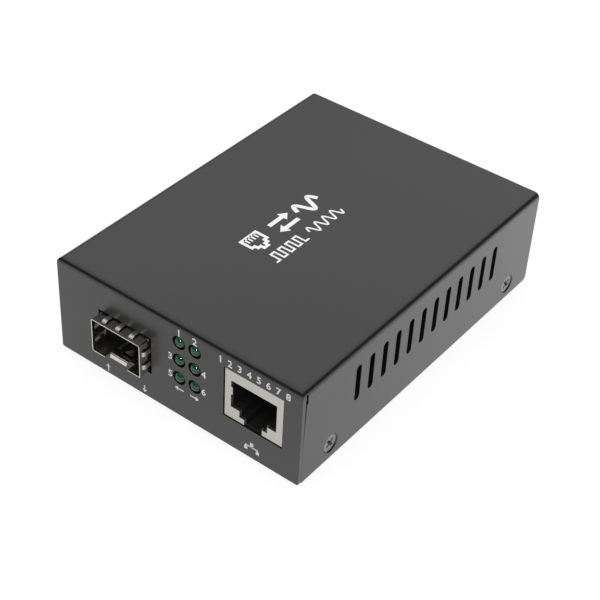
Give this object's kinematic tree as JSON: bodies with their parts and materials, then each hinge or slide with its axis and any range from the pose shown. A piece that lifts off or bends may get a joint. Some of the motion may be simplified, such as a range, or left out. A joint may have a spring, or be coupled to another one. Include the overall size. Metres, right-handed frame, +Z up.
{
  "type": "fibre media converter",
  "caption": "Small black steel box that joins a fibre link to a copper network cable, with a module cage, indicator lamps and a network jack in front and a round power inlet behind.",
  "frame": {"origin": "on the desk, under the middle of the whole object with its module cage", "axes": "+X to the right seen from the front, +Y back along the depth, +Z up from the desk"},
  "size_m": [0.07, 0.097, 0.0276],
  "materials": {
    "black_powder_coat": "satin, fine-textured powder coat",
    "black_screw": "satin black plating",
    "nickel": "bright nickel plating on folded sheet",
    "jack_plate": "satin plating",
    "zinc": "satin zinc plating",
    "foot_rubber": "matte",
    "lamp_lens": "clear green, polished",
    "board_green": "satin solder resist",
    "black_plastic": "satin",
    "gold_contact": "polished gold plating",
    "tinned_lead": "satin tin plating",
    "chip_black": "matte moulding compound",
    "ferrite": "matte ceramic",
    "capacitor_sleeve": "shrunk sleeve",
    "capacitor_can": "satin",
    "chip_ceramic": "matte ceramic"
  },
  "bodies": {
    "root": {"cover": "black_powder_coat", "chassis_base": "black_powder_coat", "cover_screws": "black_screw", "foot_front_left": "foot_rubber", "foot_front_right": "foot_rubber", "foot_rear_left": "foot_rubber", "foot_rear_right": "foot_rubber", "circuit_board": "board_green", "board_standoffs": "zinc", "board_screws": "zinc", "sfp_cage": "nickel", "sfp_spring_collar": "nickel", "sfp_connector": "black_plastic", "sfp_contacts": "gold_contact", "rj45_shield": "jack_plate", "rj45_housing": "black_plastic", "rj45_contacts": "gold_contact", "lamp_holder_left": "black_plastic", "lamp_holder_right": "black_plastic", "lamp_left_bottom": "lamp_lens", "lamp_left_middle": "lamp_lens", "lamp_left_top": "lamp_lens", "lamp_right_bottom": "lamp_lens", "lamp_right_middle": "lamp_lens", "lamp_right_top": "lamp_lens", "lamp_leads": "tinned_lead", "power_jack_housing": "black_plastic", "power_jack_pin": "tinned_lead", "power_jack_spring": "tinned_lead", "converter_chip": "chip_black", "converter_chip_leads": "tinned_lead", "lan_transformer": "chip_black", "lan_transformer_leads": "tinned_lead", "poe_controller": "chip_black", "poe_controller_leads": "tinned_lead", "memory_chip": "chip_black", "memory_chip_leads": "tinned_lead", "power_transistor": "chip_black", "power_transistor_tab": "tinned_lead", "power_transistor_leads": "tinned_lead", "storage_capacitor": "capacitor_sleeve", "storage_capacitor_leads": "tinned_lead", "output_capacitors": "capacitor_can", "output_capacitor_bases": "black_plastic", "power_inductor": "ferrite", "filter_inductor": "ferrite", "clock_crystal": "capacitor_can", "surge_diode": "chip_black", "surge_diode_terminals": "tinned_lead", "chip_capacitors": "chip_ceramic", "chip_resistors": "chip_black"}
  },
  "joints": []
}
